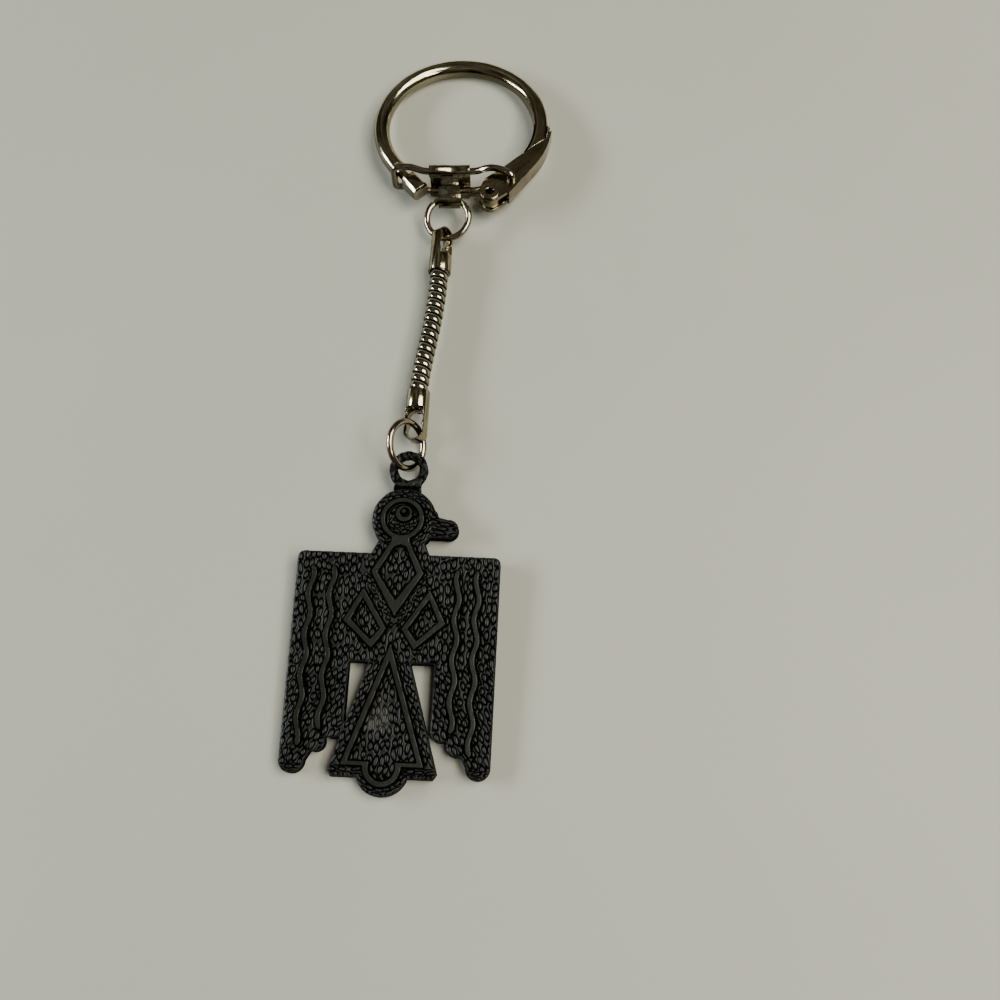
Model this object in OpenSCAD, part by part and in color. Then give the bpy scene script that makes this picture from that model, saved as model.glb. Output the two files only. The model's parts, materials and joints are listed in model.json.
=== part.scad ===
// Souvenir keychain lying on its back: a lever-lock key ring, a swivel tab, two
// jump rings, a round snake chain between two end caps and a cast bird pendant.
// +Y runs from the pendant up to the key ring, +Z is up from the table.

/* [Key ring] */
// Radius of the rod's centreline
ring_r = 14.5; // [13.5:0.1:15.5]
// Thickness of the rod
rod_d = 2.9; // [2.7:0.05:3.1]
// How far the ring leans back so that the tab clears the table, in degrees
ring_lean = 4.6; // [4.6:0.1:6]
// Diameter of the neck that the bail hooks over
neck_d = 1.8; // [1.4:0.1:2.0]
// Length of the neck
neck_len = 3.2; // [2.9:0.1:3.4]
// Length of the nub beyond the neck
nub_len = 3.6; // [2.5:0.1:4.2]

/* [Latch lever] */
// Thickness of the lever's sheet
lever_sheet = 0.6; // [0.5:0.05:0.7]
// Thickness of the ring's tongue inside the lever
tongue_t = 1.3; // [0.9:0.1:1.4]
// Outer radius of the rounded knuckle
knuckle_r = 1.95; // [1.8:0.05:2.1]
// Outer diameter of the eyelet rivet's barrel
rivet_d = 2.2; // [1.9:0.1:2.3]
// Bore of the eyelet rivet
rivet_bore = 1.45; // [1.0:0.05:1.5]
// Diameter of the rivet's rolled flange
flange_d = 3.3; // [3.0:0.1:3.5]

/* [Bail and tab] */
// Thickness of the bail's wire
bail_d = 1.2; // [1.1:0.05:1.3]
// Height of each bail strand above or below the ring's plane
strand_w = 2.45; // [2.45:0.01:2.5]
// Thickness of the tab's sheet
tab_sheet = 0.4; // [0.3:0.05:0.45]
// Width of the tab where it wraps the bail
tab_wide = 7.1; // [6:0.1:7.4]
// Width of the tab's tongues and rolled eye
tab_narrow = 3.8; // [3:0.1:4]
// Bore of the tab's rolled eye
tab_bore = 2.5; // [2.5:0.05:2.6]

/* [Jump rings] */
// Thickness of the jump rings' wire
jump_d = 1.15; // [1.0:0.05:1.2]
// Centreline radius of the upper jump ring
upper_jump_r = 3.7; // [3.65:0.05:3.75]
// Centreline radius of the lower jump ring
lower_jump_r = 3.8; // [3.75:0.05:3.85]
// Width of the closed split in a jump ring
jump_split = 0.08; // [0.05:0.01:0.12]

/* [Snake chain and end caps] */
// Outer diameter of the chain
chain_d = 3.2; // [3:0.05:3.3]
// Distance from one link to the next
link_pitch = 1.4; // [1.38:0.01:1.42]
// Outer diameter of the end caps
cap_d = 3.9; // [3.8:0.05:4]
// Width of the band that forms a cap's eye
cap_band = 2.2; // [2:0.1:2.3]
// Diameter of a cap's eye opening
eye_bore = 2.7; // [2.6:0.05:2.8]
// Turn of the upper cap's eye about the chain, in degrees
upper_eye_turn = 56; // [54:1:60]
// Turn of the lower cap's eye about the chain, in degrees
lower_eye_turn = -18; // [-22:1:-14]

/* [Bird pendant] */
// Half of the width across the wings
wing_half = 15.8; // [15:0.1:16.2]
// Thickness of the cast plate
plate_t = 2.0; // [1.6:0.1:2.2]
// Height of the raised lines above the plate
relief = 0.4; // [0.2:0.05:0.5]
// Hole in the pendant's loop
loop_bore = 3.2; // [3.1:0.05:3.3]
// Clockwise lean of the pendant on the table, in degrees
pendant_lean = 2.5; // [0:0.1:3]

/* [Hidden] */
$fn = 48;
SILVER = [0.76, 0.74, 0.68];
BRIGHT = [0.85, 0.83, 0.77];
DARK = [0.20, 0.20, 0.18];

LINKS = 18;

// ---- the key ring's own frame: u to the right, v away, w square to the ring ----
rod_r = rod_d / 2;
flat_t = rod_d + 0.1;        // thickness of the flats and of the closed lever
ring_centre = [4.7, 50.2, ring_r * sin(ring_lean) + rod_r];
hook_angle = 219;           // where the round rod ends at the neck
flat_top_angle = -1;        // where the rod turns from round to flat
neck_start = ring_r * [cos(hook_angle), sin(hook_angle)];
neck_dir = hook_angle + 90; // the neck runs straight on along the ring
pivot = [5.1, -15.6];       // the lever's knuckle
bail_hole = [9.0, -12.7];   // where a strand's end enters a cheek
rivet_fit = 0.06;           // running clearance round the rivet
pin_fit = 0.05;             // running clearance round a bail end
flange_t = 0.25;

module in_ring_frame() {
    translate(ring_centre) rotate([-ring_lean, 0, 0]) children();
}

function arc(r, a0, a1, steps, c = [0, 0]) =
    [for (k = [0:steps]) c + r * [cos(a0 + (a1 - a0) * k / steps), sin(a0 + (a1 - a0) * k / steps)]];

bend_swell = 0.03;          // a wire is a little thicker where it is bent
bend_lap = 0.05;            // how far a straight run goes into a bend

// A round wire of radius r bent along the given points, each bend of centreline radius turn
module wire(points, r, turn) {
    last = len(points) - 1;
    run = [for (k = [0:last - 1]) (points[k + 1] - points[k]) / norm(points[k + 1] - points[k])];
    bend = [for (k = [0:last]) k == 0 || k == last ? 0 : acos(run[k - 1] * run[k])];
    for (k = [0:last - 1]) {
        d = run[k];
        from = points[k] + (turn * tan(bend[k] / 2) - (k == 0 ? 0 : bend_lap)) * d;
        to = points[k + 1] - (turn * tan(bend[k + 1] / 2) - (k + 1 == last ? 0 : bend_lap)) * d;
        translate(from) rotate([0, acos(d[2]), atan2(d[1], d[0])]) cylinder(h = norm(to - from), r = r);
    }
    for (k = [1:last - 1]) {
        y = run[k - 1];
        z = cross(y, run[k]) / norm(cross(y, run[k]));
        x = cross(y, z);
        c = points[k] - turn * tan(bend[k] / 2) * y - turn * x;
        multmatrix([[x[0], y[0], z[0], c[0]], [x[1], y[1], z[1], c[1]], [x[2], y[2], z[2], c[2]], [0, 0, 0, 1]])
            rotate_extrude(angle = bend[k]) translate([turn, 0]) circle(r = r + bend_swell);
    }
}

// ---- key ring body ----
lap_in = [10.1, -7.7];      // inner end of the slanted lap
lap_out = [15.6, -3.35];    // outer end of the slanted lap
lap_gap = 0.15;

module flat_outline() {
    difference() {
        polygon(concat(arc(web_in - 0.1, flat_top_angle + 0.6, -22, 12),
                       arc(ring_r - rod_r - 0.05, -42, flat_top_angle + 0.6, 16)));
        polygon([lap_in - [8, 8], lap_out + [2, -8], lap_out + [3.06, 2.42] + lap_gap * [-0.62, 0.78],
                 lap_out + lap_gap * [-0.62, 0.78], lap_in + lap_gap * [-0.62, 0.78],
                 lap_in - [5.5, 4.35] + lap_gap * [-0.62, 0.78]]);
    }
}

module tongue_outline() {
    polygon(concat(arc(15.1, -10, -58, 16), [pivot + [1.5, -1.0], pivot - [1.65, -0.7]],
                   arc(13.2, -62, -10, 16)));
    translate(pivot) circle(r = knuckle_r - 0.25);
}

module nub_outline() {
    c = 0.5; // chamfer
    s = rod_r;
    polygon([[-s + c, -s], [s - c, -s], [s, -s + c], [s, s - c],
             [s - c, s], [-s + c, s], [-s, s - c], [-s, -s + c]]);
}

module ring_body() {
    color(SILVER) in_ring_frame() difference() {
        union() {
            rotate([0, 0, flat_top_angle])
                rotate_extrude(angle = hook_angle - flat_top_angle, $fn = 96)
                    translate([ring_r, 0]) circle(r = rod_r);
            linear_extrude(height = flat_t, center = true) flat_outline();
            linear_extrude(height = tongue_t, center = true) tongue_outline();
            translate(neck_start) rotate([0, 0, neck_dir]) rotate([0, 90, 0]) {
                translate([0, 0, -0.2]) cylinder(h = neck_len + 0.4, r = neck_d / 2);
                translate([0, 0, neck_len]) linear_extrude(height = nub_len) nub_outline();
            }
        }
        translate(pivot) cylinder(h = 2 * rod_d, r = rivet_d / 2 + rivet_fit, center = true);
    }
}

// ---- lever: two cheeks joined by a web along the rim ----
cheek_w = (flat_t - lever_sheet) / 2;
web_in = ring_r + rod_r - 0.35;

module cheek_outline() {
    polygon(concat([lap_in, lap_out],
                   arc(web_in + 0.3, -15, -38, 8),
                   [[8.35, -15.5], pivot + [1.5, -1.25], pivot - [knuckle_r - 0.05, -0.4],
                    [4.2, -12.6], [7.0, -10.5]]));
    translate(pivot) circle(r = knuckle_r);
}

module web_outline() {
    polygon(concat([[16.3, -0.55], [15.98, -0.75]],
                   arc(web_in, -4, -37, 10), [[8.05, -15.25], [8.5, -15.75]],
                   arc(web_in + lever_sheet, -37, -4, 10)));
}

module latch_lever() {
    color(BRIGHT) in_ring_frame() difference() {
        union() {
            for (side = [-1, 1])
                translate([0, 0, side * cheek_w])
                    linear_extrude(height = lever_sheet, center = true) cheek_outline();
            linear_extrude(height = flat_t, center = true) web_outline();
        }
        translate(pivot) cylinder(h = 2 * rod_d, r = rivet_d / 2, center = true);
        translate(bail_hole) cylinder(h = 2 * rod_d, r = bail_d / 2 + pin_fit, center = true);
    }
}

// ---- hollow eyelet that the lever turns on ----
module lever_rivet() {
    color(SILVER) in_ring_frame() translate(pivot) difference() {
        union() {
            cylinder(h = flat_t + 2 * flange_t, r = rivet_d / 2, center = true);
            for (side = [-1, 1])
                translate([0, 0, side * (flat_t + flange_t) / 2])
                    cylinder(h = flange_t, r = flange_d / 2, center = true);
        }
        cylinder(h = 2 * rod_d, r = rivet_bore / 2, center = true);
    }
}

// ---- wire bail: one strand on each face of the ring, closed round the neck ----
strand_v = -11.9;           // where the tab rides
hook_out = neck_d / 2 + bail_d / 2 + 0.05;
hook_bar = neck_start + 1.2 * [cos(neck_dir), sin(neck_dir)] + hook_out * [cos(hook_angle), sin(hook_angle)];
strand_bends = [hook_bar, [-8.9, -10.8], [-6.3, strand_v], [2.8, strand_v], [4.9, -11.0], [7.1, -11.3],
                bail_hole];
pin_depth = flat_t / 2 - lever_sheet + 0.05;
bail_turn = 0.9;            // centreline radius of every bend in the bail

function strand(side) = [for (p = strand_bends) [p[0], p[1], side * strand_w]];

module wire_bail() {
    last = len(strand_bends) - 1;
    path = concat([[bail_hole[0], bail_hole[1], pin_depth]],
                  [for (k = [0:last]) strand(1)[last - k]],
                  strand(-1),
                  [[bail_hole[0], bail_hole[1], -pin_depth]]);
    color(BRIGHT) in_ring_frame() wire(path, bail_d / 2, bail_turn);
}

// ---- swivel tab: a strip folded round both strands, its ends rolled into an eye ----
tab_u = -1.9;
eye_drop = 3.95;            // from the strands to the rolled eye
roll_in = bail_d / 2 + 0.1;
roll_out = roll_in + tab_sheet;
eye_in = tab_bore / 2;
eye_out = eye_in + tab_sheet;
tab_eye = [tab_u, strand_v - eye_drop];

module tab_sleeve_outline() {
    difference() {
        union() {
            translate([0, -strand_w]) square([roll_out, 2 * strand_w]);
            for (side = [-1, 1]) translate([0, side * strand_w]) circle(r = roll_out);
        }
        for (side = [-1, 1]) translate([0, side * strand_w]) circle(r = roll_in);
        translate([-roll_out - 1, -strand_w + 0.35]) square([roll_out + 1 + roll_in, 2 * strand_w - 0.7]);
    }
}

module tab_tongue_outline() {
    difference() {
        union() {
            translate([-eye_drop, 0]) circle(r = eye_out);
            for (side = [0, 1]) mirror([0, side])
                polygon([[-roll_out, strand_w + 0.1], [-roll_in, strand_w - 0.2],
                         [-roll_in, strand_w - 0.5], [-eye_drop + 0.5, eye_in], [-eye_drop, eye_out]]);
        }
        translate([-eye_drop, 0]) circle(r = eye_in);
        for (side = [-1, 1]) translate([0, side * strand_w]) circle(r = roll_in);
    }
}

module swivel_tab() {
    color(SILVER) in_ring_frame() translate([tab_u, strand_v, 0]) rotate([90, 0, 90]) {
        linear_extrude(height = tab_wide, center = true) tab_sleeve_outline();
        linear_extrude(height = tab_narrow, center = true) tab_tongue_outline();
    }
}

// ---- jump rings: closed wire rings, cut once ----
module jump_ring(r, cut_angle) {
    difference() {
        rotate_extrude($fn = 72) translate([r, 0]) circle(d = jump_d);
        rotate([0, 0, cut_angle]) translate([r, 0, 0])
            cube([2 * jump_d, jump_split, 2 * jump_d], center = true);
    }
}

chain_z = cap_d / 2 + 0.5;  // both caps ride up on the jump rings' wires
upper_rim = [1.2, 20.5];
cap_len = 6.8;              // from a cap's rim to the centre of its eye
upper_jump_centre = [2.46, 31.18, 2.88];
upper_jump_turn = [11, -7.5, -0.8];  // it rises towards the tab, its right side higher
lower_jump_centre = [-3.36, -11.72, 3.58];
lower_jump_turn = [8, 51.7, -1.7];   // its left side stands up

module upper_jump_ring() {
    color(BRIGHT) translate(upper_jump_centre) rotate(upper_jump_turn) jump_ring(upper_jump_r, 155);
}

module lower_jump_ring() {
    color(BRIGHT) translate(lower_jump_centre) rotate(lower_jump_turn) jump_ring(lower_jump_r, 20);
}

// ---- end cap: a cup crimped on the chain, with a slotted band as its eye ----
// Its eye is at the origin, its cup points along -Y, and the eye's axis is Z.
module end_cap() {
    cup_depth = 2.6;
    shoulder = 3.7;         // from the eye to where the cup is round again
    slot = 2.0;             // length of the eye's straight sides
    flare = 0.35;           // how far the eye opens out at each face
    difference() {
        intersection() {
            translate([0, cap_d, 0]) rotate([90, 0, 0]) cylinder(h = cap_len + cap_d, d = cap_d);
            union() {
                cylinder(h = cap_band, d = cap_d - 0.1, center = true);
                translate([-cap_d / 2, -shoulder, -cap_band / 2]) cube([cap_d, shoulder, cap_band]);
                translate([-cap_d / 2, -cap_len, -cap_d / 2]) cube([cap_d, cap_len - shoulder, cap_d]);
            }
        }
        for (y = [0, -slot]) translate([0, y, 0]) {
            cylinder(h = 2 * cap_d, d = eye_bore, center = true);
            for (side = [0, 1]) mirror([0, 0, side]) translate([0, 0, cap_band / 2 - 0.7])
                cylinder(h = 1.4, r1 = eye_bore / 2, r2 = eye_bore / 2 + 2 * flare);
        }
        translate([-eye_bore / 2, -slot, -cap_d]) cube([eye_bore, slot, 2 * cap_d]);
        translate([0, -cap_len + cup_depth, 0]) rotate([90, 0, 0])
            cylinder(h = cup_depth + 1, d = chain_d + 0.02);
    }
}

// ---- snake chain: each link's collar sits in the socket of the link above ----
collar_r = 1.25;            // round collar, centred on the link's own joint
socket_r = 1.31;            // round socket, centred on the next link's joint
link_top = 0.8;             // from a joint down to the outer ring of its link
link_gap = 0.3;             // open gap between two outer rings
neck_r = 1.12;

// Heading of a link on the table: degrees that it turns from -Y towards -X.
// Only every second joint bends sideways.
side_joints = 9;
heading_end = 3;
heading_bow = 7.5;
function heading(link) =
    heading_end + heading_bow * sin(180 * pow(floor(link / 2) / side_joints, 1.6));
function along(link) = [-sin(heading(link)), -cos(heading(link))];

// A link's joint is where its collar turns in the link above. The first link
// is crimped in the upper cap, whose rim is flush with the link's lower edge.
function link_joint(link) =
    link == 1 ? upper_rim - (link_pitch + link_top - link_gap) * along(1)
              : link_joint(link - 1) + link_pitch * along(link - 1);

lower_rim = link_joint(LINKS) + link_top * along(LINKS);
lower_eye = lower_rim + cap_len * along(LINKS);
upper_eye = upper_rim - cap_len * along(1);

// One link in its own frame: joint at the origin, the next joint along -Z
module link_shape() {
    link_low = link_pitch + link_top - link_gap;
    edge = 0.18;
    difference() {
        union() {
            rotate_extrude()
                polygon([[0, -link_top], [chain_d / 2 - edge, -link_top], [chain_d / 2, -link_top - edge],
                         [chain_d / 2, -link_low + edge], [chain_d / 2 - edge, -link_low], [0, -link_low]]);
            intersection() {
                sphere(collar_r);
                translate([0, 0, -0.55]) cylinder(h = 0.65, r = chain_d);
            }
            translate([0, 0, -link_top - 0.1]) cylinder(h = 0.5, r = neck_r);
        }
        intersection() {
            translate([0, 0, -link_pitch]) sphere(socket_r);
            translate([0, 0, -link_low - 0.1]) cylinder(h = link_low + 0.1 - link_pitch + 0.35, r = chain_d);
        }
        translate([0, 0, -link_pitch]) cylinder(h = link_pitch + 1, r = 0.75);
    }
}

module chain_link(link) {
    p = link_joint(link);
    color(link % 2 == 0 ? SILVER : BRIGHT)
        translate([p[0], p[1], chain_z]) rotate([0, 0, -heading(link)]) rotate([-90, 0, 0]) link_shape();
}

module upper_end_cap() {
    color(SILVER) translate([upper_eye[0], upper_eye[1], chain_z])
        rotate([0, 0, -heading(1)]) rotate([0, upper_eye_turn, 0]) end_cap();
}

module lower_end_cap() {
    color(SILVER) translate([lower_eye[0], lower_eye[1], chain_z])
        rotate([0, 0, 180 - heading(LINKS)]) rotate([0, -lower_eye_turn, 0]) end_cap();
}

// ---- bird pendant: flat-backed casting with raised lines; its loop is the origin ----
pendant_loop = [-3.0, -15.6];
pendant_rise = 1.5;         // its loop end is propped up on the jump ring's wire
loop_drop = 0.3;            // the loop is thinner than the plate on both faces
axis_x = -0.4;              // the bird's centre line beside the loop
loop_out = 3.15;
head_c = [0.3, -8.4];
head_r = 5.1;
eye_c = [0.05, -8.4];
pupil_c = [0.25, -7.6];
wing_top = -14.0;
wing_low = -47.6;
tip_r = 1.9;
tip_x = 13.7;
inner_x = 6.4;              // inner edge of a wing beside its window
window_top = -31.0;
tail_x = -0.3;              // the tail sits a little left of the head
tail_top_half = 3.3;
tail_low_half = 8.1;
tail_low = -47.8;
lobe_c = [0, -46.5];
lobe_r = 3.95;

module both_sides() {
    children();
    mirror([1, 0]) children();
}

module wing_outline() {
    corner = 1.0;
    polygon([[0, wing_top], [wing_half - corner, wing_top], [wing_half, wing_top - corner],
             [wing_half - 0.2, wing_low + tip_r], [tip_x, wing_low], [tip_x - tip_r, wing_low + tip_r],
             [11.2, -44.6], [9.2, -42.4], [inner_x, -41.2], [inner_x, window_top], [0, window_top]]);
    translate([wing_half - corner, wing_top - corner]) circle(r = corner);
    translate([tip_x, wing_low + tip_r]) circle(r = tip_r);
    translate([10.4, -42.9]) circle(r = 1.5);
    translate([8.0, -40.9]) circle(r = 1.5);
}

module tail_outline() {
    half = tail_low_half;
    polygon([[-half, tail_low + 0.9], [-tail_top_half, window_top - 0.2], [0, window_top + 7.4],
             [tail_top_half, window_top - 0.2], [half, tail_low + 0.9], [half - 0.6, tail_low],
             [0.6 - half, tail_low]]);
    translate(lobe_c) circle(r = lobe_r);
}

module beak_outline() {
    tip = [7.35, -9.75];
    polygon([[3.5, -6.0], [4.2, -5.9], [5.45, -7.0], [5.8, -7.85], tip + [0.05, 1.55],
             tip + [0.05, -1.55], [3.5, -11.3]]);
    translate(tip) circle(r = 1.62);
}

module bird_outline() {
    both_sides() wing_outline();
    translate([tail_x, 0]) tail_outline();
    translate(head_c) circle(r = head_r);
    polygon([[-4.5, wing_top - 0.1], [-3.4, -11.8], [3.75, -11.8], [4.7, wing_top - 0.1]]);
    beak_outline();
}

// A wavy raised line that runs down a wing and swings outwards first
module wavy_line(x, low) {
    line = 0.75;
    sway = 0.33 * sign(x);
    wave = 6.2;
    top = wing_top - 2.4;
    steps = 60;
    function mid(y) = x + sway * cos(360 * (y + 20.9) / wave);
    function half(k) = k == 0 || k == steps ? 0.4 * line / 2 : line / 2;
    function point(k, side) = let (y = top + (low - top) * k / steps) [mid(y) + side * half(k), y];
    polygon(concat([for (k = [0:steps]) point(k, 1)], [for (k = [0:steps]) point(steps - k, -1)]));
}

// The big diamond opens into the eye's ring at the neck
module breast_lines() {
    difference() {
        polygon([[-1.35, -11.3], [-1.35, -12.1], [-4.15, -17.1], [-0.1, -23.9],
                 [3.95, -17.1], [1.4, -12.1], [1.4, -11.3]]);
        polygon([[-0.9, -13.0], [-3.2, -17.15], [-0.15, -21.5], [2.9, -17.15], [1.05, -13.0], [0.1, -12.6]]);
    }
}

module side_diamond() {
    difference() {
        polygon([[5.1, -19.65], [7.8, -24.8], [3.2, -28.9], [1.15, -25.85]]);
        polygon([[5.1, -21.1], [6.7, -24.6], [3.5, -27.6], [2.1, -25.8]]);
    }
}

// A long triangle with a round lobe at its foot
module tail_line(apex, half, low, lobe) {
    polygon([[-half, low], [0, apex], [half, low]]);
    translate([0, -46.2]) circle(r = lobe);
}

module raised_lines() {
    translate(eye_c) difference() {
        circle(r = 3.4);
        circle(r = 2.72);
    }
    translate(pupil_c) {
        difference() {
            circle(r = 1.3);
            translate([0.12, 0.22]) circle(r = 0.78);
        }
        translate([-0.05, 0.4]) circle(r = 0.36);
    }
    breast_lines();
    both_sides() side_diamond();
    wavy_line(-13.2, -43.6);
    wavy_line(-10.0, -41.2);
    wavy_line(9.35, -41.0);
    wavy_line(12.4, -44.2);
    translate([tail_x, 0]) difference() {
        tail_line(-28.1, 6.1, -46.05, 2.8);
        tail_line(-30.6, 5.15, -45.45, 2.0);
    }
}

module bird_pendant() {
    tail_end = lobe_r - lobe_c[1]; // from the loop to the lowest point of the tail
    flare = 0.9;                   // how far the loop's hole opens out at each face
    flare_len = 1.2;
    flare_start = 0.1;             // from the plate's middle
    color(DARK) translate([pendant_loop[0], pendant_loop[1], tail_end * sin(pendant_rise)])
        rotate([0, 0, -pendant_lean]) rotate([pendant_rise, 0, 0]) difference() {
            union() {
                translate([axis_x, 0, 0]) {
                    linear_extrude(height = plate_t) bird_outline();
                    translate([0, 0, plate_t - 0.2]) linear_extrude(height = relief + 0.2) raised_lines();
                }
                translate([0, 0, loop_drop]) {
                    cylinder(h = plate_t - 2 * loop_drop, r = loop_out);
                    translate([-2.2, -4, 0]) cube([4.4, 3, plate_t - 2 * loop_drop]);
                }
            }
            translate([0, 0, plate_t / 2]) {
                cylinder(h = 2 * plate_t, d = loop_bore, center = true);
                for (side = [0, 1]) mirror([0, 0, side]) translate([0, 0, flare_start])
                    cylinder(h = flare_len, r1 = loop_bore / 2, r2 = loop_bore / 2 + flare);
            }
        }
}

ring_body();
latch_lever();
lever_rivet();
wire_bail();
swivel_tab();
upper_jump_ring();
upper_end_cap();
chain_link(1);  // chain_link_01
chain_link(2);  // chain_link_02
chain_link(3);  // chain_link_03
chain_link(4);  // chain_link_04
chain_link(5);  // chain_link_05
chain_link(6);  // chain_link_06
chain_link(7);  // chain_link_07
chain_link(8);  // chain_link_08
chain_link(9);  // chain_link_09
chain_link(10);  // chain_link_10
chain_link(11);  // chain_link_11
chain_link(12);  // chain_link_12
chain_link(13);  // chain_link_13
chain_link(14);  // chain_link_14
chain_link(15);  // chain_link_15
chain_link(16);  // chain_link_16
chain_link(17);  // chain_link_17
chain_link(18);  // chain_link_18
lower_end_cap();
lower_jump_ring();
bird_pendant();
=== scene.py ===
import json
import math
import random

import bmesh
import bpy
import numpy as np
from mathutils import Matrix, Vector


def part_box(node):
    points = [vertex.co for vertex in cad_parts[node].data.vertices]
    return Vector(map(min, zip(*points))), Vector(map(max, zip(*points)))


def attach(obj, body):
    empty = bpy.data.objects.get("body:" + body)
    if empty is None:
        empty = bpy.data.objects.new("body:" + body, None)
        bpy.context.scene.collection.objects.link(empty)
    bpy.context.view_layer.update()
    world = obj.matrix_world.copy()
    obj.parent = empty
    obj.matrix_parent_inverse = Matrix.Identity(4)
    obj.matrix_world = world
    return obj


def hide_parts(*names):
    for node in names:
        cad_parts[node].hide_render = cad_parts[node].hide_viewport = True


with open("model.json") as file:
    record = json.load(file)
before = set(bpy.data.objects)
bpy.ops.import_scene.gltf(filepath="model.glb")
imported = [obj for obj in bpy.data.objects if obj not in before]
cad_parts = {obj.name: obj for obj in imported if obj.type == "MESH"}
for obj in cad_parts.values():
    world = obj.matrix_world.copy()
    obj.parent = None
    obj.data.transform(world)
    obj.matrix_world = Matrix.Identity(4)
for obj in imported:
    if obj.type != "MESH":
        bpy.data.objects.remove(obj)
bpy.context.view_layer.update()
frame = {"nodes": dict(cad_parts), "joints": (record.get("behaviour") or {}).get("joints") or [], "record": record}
MM = 0.001
JOINTS = {j["name"]: j for j in frame["joints"]}
BODY_OF = {n: b for b, nodes in frame["record"]["behaviour"]["bodies"].items() for n in nodes}
LINKS = sorted(n for n in frame["nodes"] if n.startswith("chain_link"))


# ---------------------------------------------------------------- materials
def new_material(name):
    m = bpy.data.materials.new(name)
    m.use_nodes = True
    t = m.node_tree
    return m, t, t.nodes["Principled BSDF"]


def add(t, kind, **values):
    """A node whose inputs (by name) and properties are set from values"""
    n = t.nodes.new(kind)
    for k, v in values.items():
        if hasattr(n, k):
            setattr(n, k, v)
        else:
            n.inputs[k.replace("_", " ")].default_value = v
    return n


def mesh_value(t, name, output="Fac"):
    return add(t, "ShaderNodeAttribute", attribute_name=name).outputs[output]


def ramp(t, source, stops):
    """A colour ramp through (place, colour) stops; a grey is given as one number"""
    r = t.nodes.new("ShaderNodeValToRGB")
    e = r.color_ramp.elements
    while len(e) < len(stops):
        e.new(0.5)
    for element, (place, colour) in zip(e, stops):
        element.position = place
        element.color = (colour,) * 3 + (1,) if isinstance(colour, float) else (*colour, 1)
    t.links.new(source, r.inputs["Fac"])
    return r.outputs["Color"]


def noise(t, at, scale, detail=4.0, rough=0.55, stretch=None):
    """Noise at the given coordinates; scale is in features per millimetre"""
    if stretch:
        m = add(t, "ShaderNodeMapping")
        m.inputs["Scale"].default_value = stretch
        t.links.new(at, m.inputs["Vector"])
        at = m.outputs["Vector"]
    n = add(t, "ShaderNodeTexNoise", Scale=scale / MM, Detail=detail, Roughness=rough)
    t.links.new(at, n.inputs["Vector"])
    return n.outputs["Fac"]


def mix(t, factor, a, b):
    """Blends two colours, each given as a value or as another node's output"""
    n = t.nodes.new("ShaderNodeMix")
    n.data_type = "RGBA"
    for value, socket in ((factor, n.inputs[0]), (a, n.inputs[6]), (b, n.inputs[7])):
        if hasattr(value, "links"):
            t.links.new(value, socket)
        else:
            socket.default_value = value if isinstance(value, float) else (*value, 1)
    return n.outputs[2]


def bump(t, height, strength, distance, under=None):
    n = add(t, "ShaderNodeBump", Strength=strength, Distance=distance)
    t.links.new(height, n.inputs["Height"])
    if under is not None:
        t.links.new(under, n.inputs["Normal"])
    return n.outputs["Normal"]


def nickel(name, tint, shadow, rough=(0.07, 0.20), scratch=0.25):
    """Bright plated metal: cloudy tarnish, and scratches and streaks that run along the piece. The mesh says
    where it gets a brown painted shade, on the flanks, and a black painted shade, in creases and gaps"""
    shade_black = (0.003, 0.003, 0.002)
    in_streak, in_speck, in_flank_shade = (tuple(share * x for x in shadow) for share in (0.42, 0.40, 0.17))
    m, t, s = new_material(name)
    c = t.nodes.new("ShaderNodeTexCoord").outputs["Object"]
    flow, crevice_shade, flank_shade = mesh_value(t, "flow", "Vector"), mesh_value(t, "crevice_shade"), mesh_value(t, "flank_shade")
    cloud = noise(t, c, 0.35, 5.0)
    speck = noise(t, c, 5.0, 6.0, 0.7)
    lines = noise(t, flow, 6.0, 4.0, 0.65, (1, 0.05, 1))
    streak = noise(t, flow, 1.5, 4.0, 0.6, (1, 0.10, 1))
    colour = mix(t, ramp(t, cloud, [(0.35, 0.0), (0.7, 1.0)]), tint, shadow)
    colour = mix(t, ramp(t, streak, [(0.48, 0.0), (0.70, 0.75)]), colour, in_streak)
    colour = mix(t, ramp(t, speck, [(0.62, 0.0), (0.78, 0.55)]), colour, in_speck)
    # painted shade: a brown one on the flanks and a black one in creases and gaps
    colour = mix(t, crevice_shade, mix(t, flank_shade, colour, in_flank_shade), shade_black)
    t.links.new(colour, s.inputs["Base Color"])
    # where the black painted shade lies, the metal stops mirroring
    t.links.new(ramp(t, crevice_shade, [(0.0, 1.0), (1.0, 0.0)]), s.inputs["Metallic"])
    t.links.new(ramp(t, crevice_shade, [(0.0, 0.5), (1.0, 0.05)]), s.inputs["Specular IOR Level"])
    haze = ramp(t, mix(t, 0.45, cloud, speck), [(0.3, rough[0]), (0.75, rough[1])])
    t.links.new(haze, s.inputs["Roughness"])
    ripple = bump(t, noise(t, c, 0.55, 2.0), 0.35, 0.06 * MM)
    drawn = bump(t, streak, 0.45, 0.05 * MM, ripple)
    t.links.new(bump(t, lines, scratch, 0.012 * MM, drawn), s.inputs["Normal"])
    return m


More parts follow.
